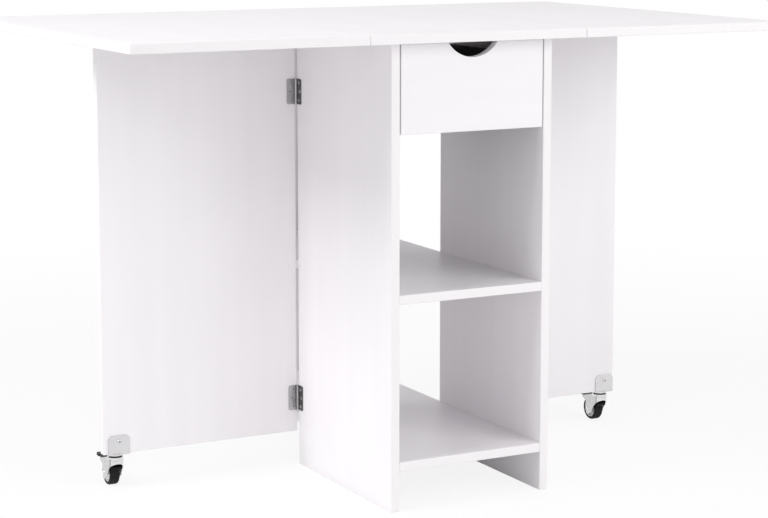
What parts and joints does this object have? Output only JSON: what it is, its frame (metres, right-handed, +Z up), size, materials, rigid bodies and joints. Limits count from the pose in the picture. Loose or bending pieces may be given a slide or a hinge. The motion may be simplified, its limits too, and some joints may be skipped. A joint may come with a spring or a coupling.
{
  "type": "drop-leaf kitchen table with storage cabinet",
  "caption": "Drop-leaf table whose leaves rest on swing-out leg panels with braked casters, over a narrow cabinet with open shelves and a drawer with a finger notch.",
  "frame": {"origin": "on the floor, under the middle of the table top", "axes": "+Z up; X along the table's length, +X to the right of someone facing the drawer; the drawer opens towards -Y"},
  "size_m": [1.17, 0.75, 0.76],
  "materials": {
    "board": "white melamine on particle board",
    "drawer_box": "dark grey foil on particle board",
    "dowel": "bare beech",
    "runner": "moulded nylon",
    "hinge_steel": "zinc plated",
    "bright_steel": "bright plated",
    "cam_zinc": "die cast zinc",
    "caster_chrome": "bright plated steel",
    "black_plastic": "moulded nylon",
    "hub_plastic": "silver-grey moulded plastic",
    "black_rubber": "smooth rubber"
  },
  "bodies": {
    "table_frame": {"back_panel": "board", "cam_bolts": "bright_steel", "cam_locks": "cam_zinc", "center_top": "board", "leaf_hinge_inner_plates": "hinge_steel", "leaf_hinge_outer_plates": "hinge_steel", "leaf_hinge_pins": "bright_steel", "leaf_hinge_screws": "bright_steel", "left_drawer_runner": "runner", "left_hinge_panel_plates": "hinge_steel", "left_hinge_pins": "bright_steel", "left_leaf": "board", "left_side_panel": "board", "lower_shelf": "board", "middle_shelf": "board", "panel_hinge_screws": "bright_steel", "right_drawer_runner": "runner", "right_hinge_panel_plates": "hinge_steel", "right_hinge_pins": "bright_steel", "right_leaf": "board", "right_side_panel": "board", "runner_screws": "bright_steel"},
    "drawer": {"drawer_back": "drawer_box", "drawer_bottom_panel": "drawer_box", "drawer_dowels": "dowel", "drawer_front": "board", "drawer_left_side": "drawer_box", "drawer_right_side": "drawer_box", "drawer_screws": "bright_steel"},
    "left_leg": {"left_bracket_screw": "bright_steel", "left_caster_bracket": "caster_chrome", "left_dust_ring": "black_plastic", "left_hinge_leg_plates": "hinge_steel", "left_kingpin": "bright_steel", "left_leg_glide": "runner", "left_leg_hinge_screws": "bright_steel", "left_leg_panel": "board"},
    "left_brake": {"left_brake_pedal": "black_plastic"},
    "left_swivel": {"left_brake_pin": "bright_steel", "left_caster_fork": "caster_chrome", "left_wheel_axle": "bright_steel"},
    "left_wheel": {"left_wheel_hub": "hub_plastic", "left_wheel_tread": "black_rubber"},
    "right_leg": {"right_bracket_screw": "bright_steel", "right_caster_bracket": "caster_chrome", "right_dust_ring": "black_plastic", "right_hinge_leg_plates": "hinge_steel", "right_kingpin": "bright_steel", "right_leg_glide": "runner", "right_leg_hinge_screws": "bright_steel", "right_leg_panel": "board"},
    "right_brake": {"right_brake_pedal": "black_plastic"},
    "right_swivel": {"right_brake_pin": "bright_steel", "right_caster_fork": "caster_chrome", "right_wheel_axle": "bright_steel"},
    "right_wheel": {"right_wheel_hub": "hub_plastic", "right_wheel_tread": "black_rubber"}
  },
  "joints": [
    {"name": "drawer_slide", "type": "slide", "parent": "table_frame", "child": "drawer", "axis": [0, -1, 0], "range_m": [0, 0.2]},
    {"name": "left_leg_swing", "type": "hinge", "parent": "table_frame", "child": "left_leg", "pos_m": [-0.1482, -0.0127, 0.38], "axis": [0, 0, -1], "range_deg": [0, 90]},
    {"name": "left_caster_swivel", "type": "hinge", "parent": "left_leg", "child": "left_swivel", "pos_m": [-0.4785, -0.003, 0.05], "axis": [0, 0, 1], "continuous": true},
    {"name": "left_wheel_spin", "type": "hinge", "parent": "left_swivel", "child": "left_wheel", "pos_m": [-0.4785, 0.018, 0.021], "axis": [1, 0, 0], "continuous": true},
    {"name": "left_brake_press", "type": "hinge", "parent": "left_swivel", "child": "left_brake", "pos_m": [-0.4785, 0.00238, 0.03961], "axis": [-1, 0, 0], "range_deg": [0, 4]},
    {"name": "right_leg_swing", "type": "hinge", "parent": "table_frame", "child": "right_leg", "pos_m": [0.1482, -0.0127, 0.38], "axis": [0, 0, 1], "range_deg": [0, 90]},
    {"name": "right_caster_swivel", "type": "hinge", "parent": "right_leg", "child": "right_swivel", "pos_m": [0.4785, -0.003, 0.05], "axis": [0, 0, 1], "continuous": true},
    {"name": "right_wheel_spin", "type": "hinge", "parent": "right_swivel", "child": "right_wheel", "pos_m": [0.4785, 0.018, 0.021], "axis": [1, 0, 0], "continuous": true},
    {"name": "right_brake_press", "type": "hinge", "parent": "right_swivel", "child": "right_brake", "pos_m": [0.4785, 0.00238, 0.03961], "axis": [-1, 0, 0], "range_deg": [0, 4]}
  ]
}
